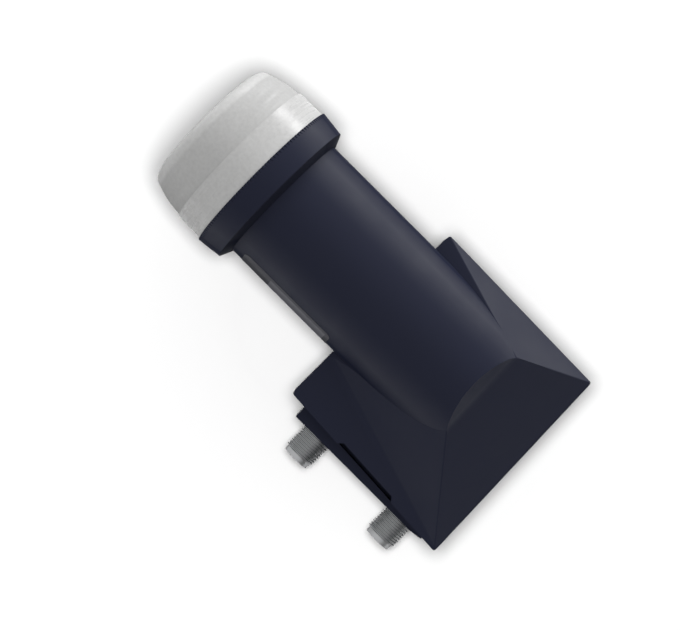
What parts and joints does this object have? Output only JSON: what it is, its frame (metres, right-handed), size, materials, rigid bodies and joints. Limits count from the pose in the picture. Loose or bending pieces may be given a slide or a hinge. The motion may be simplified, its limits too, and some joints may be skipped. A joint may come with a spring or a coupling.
{
  "type": "satellite LNB",
  "caption": "Low-noise block downconverter for a satellite dish: round feed cap, clamp neck, faceted sealed housing and threaded coaxial outputs on one side.",
  "frame": {"origin": "middle of the clamp neck's length, on the feed axis", "axes": "+X along the feed axis from the cap towards the housing, +Y away from the coaxial outputs, +Z away from the flat base"},
  "size_m": [0.1293, 0.075, 0.0494],
  "materials": {
    "shell": "satin",
    "collar": "satin",
    "cap": "matt",
    "casting": "as cast",
    "lid": "as cast",
    "steel": "plain",
    "nickel": "satin nickel",
    "contact": "bright",
    "insulator": "matt",
    "seal": "matt",
    "board": "solder mask",
    "chip": "matt",
    "coil": "enamelled wire"
  },
  "bodies": {
    "root": {"feed_cap": "cap", "cap_seal_ring": "seal", "collar_ring": "collar", "upper_shell": "shell", "lower_shell": "shell", "cast_feed_body": "casting", "shield_lid": "lid", "lid_screws": "steel", "circuit_board": "board", "vertical_probe": "contact", "vertical_probe_insulator": "insulator", "horizontal_probe": "contact", "horizontal_probe_insulator": "insulator", "polarisation_rod": "steel", "front_connector": "nickel", "front_connector_insulator": "insulator", "front_centre_contact": "contact", "front_connector_seal": "seal", "rear_connector": "nickel", "rear_connector_insulator": "insulator", "rear_centre_contact": "contact", "rear_connector_seal": "seal", "converter_chip": "chip", "quartz_crystal": "steel", "voltage_regulator": "chip", "low_noise_transistors": "chip", "bias_chokes": "coil"}
  },
  "joints": []
}
